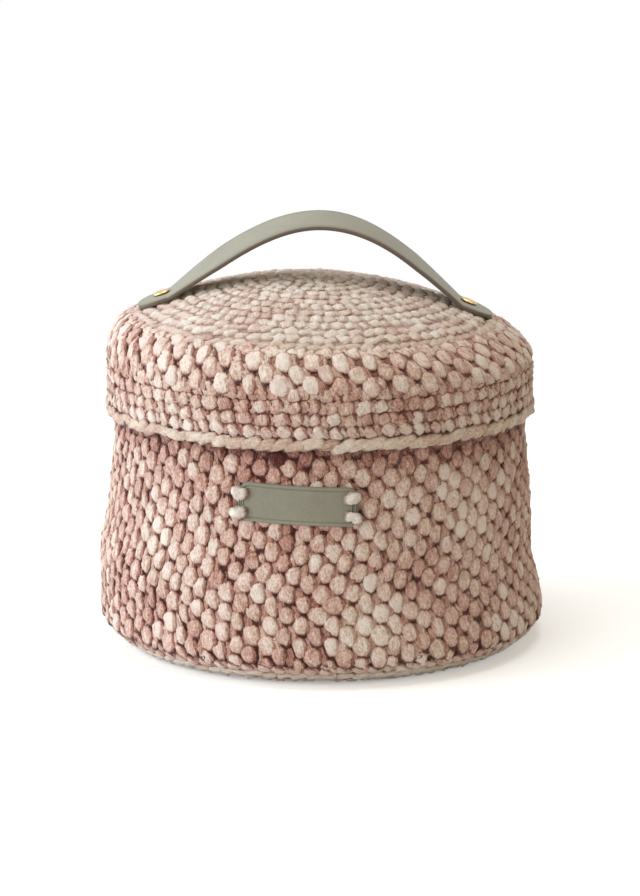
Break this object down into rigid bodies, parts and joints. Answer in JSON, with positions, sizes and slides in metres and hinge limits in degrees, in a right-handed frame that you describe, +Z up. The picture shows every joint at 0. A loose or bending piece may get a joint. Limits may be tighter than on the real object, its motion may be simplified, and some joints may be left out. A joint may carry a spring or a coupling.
{
  "type": "knitting basket",
  "caption": "Round crocheted yarn basket with a domed lift-off lid, a riveted leather strap handle and a sewn-on leather label.",
  "frame": {"origin": "on the floor under the middle of the round base", "axes": "+Z up, the label faces -Y, the strap handle runs along X"},
  "size_m": [0.2244, 0.2245, 0.2152],
  "materials": {
    "yarn": "velvety chenille yarn, dusty pink mixed with cream",
    "yarn_deep": "the same yarn in its deeper pink",
    "yarn_light": "the same yarn in its lighter pink",
    "yarn_pale": "pale pink yarn",
    "strap_leather": "matt grey-taupe leather",
    "label_leather": "matt grey-green leather",
    "brass": "polished brass"
  },
  "bodies": {
    "basket": {"base_disc": "yarn_deep", "base_braid": "yarn_deep", "wall": "yarn", "collar": "yarn", "collar_edge": "yarn_light", "label_tag": "label_leather", "label_stitch_1": "yarn_pale", "label_stitch_2": "yarn_pale", "label_stitch_3": "yarn_pale", "label_stitch_4": "yarn_pale"},
    "lid": {"lid_crown": "yarn", "lid_shoulder": "yarn", "lid_skirt": "yarn", "lid_rim_braid": "yarn_light", "handle_strap": "strap_leather", "rivet_cap_left": "brass", "rivet_cap_right": "brass", "rivet_back_left": "brass", "rivet_back_right": "brass"}
  },
  "joints": [
    {"name": "lid_lift", "type": "slide", "parent": "basket", "child": "lid", "axis": [0, 0, 1], "range_m": [0, 0.08]}
  ]
}
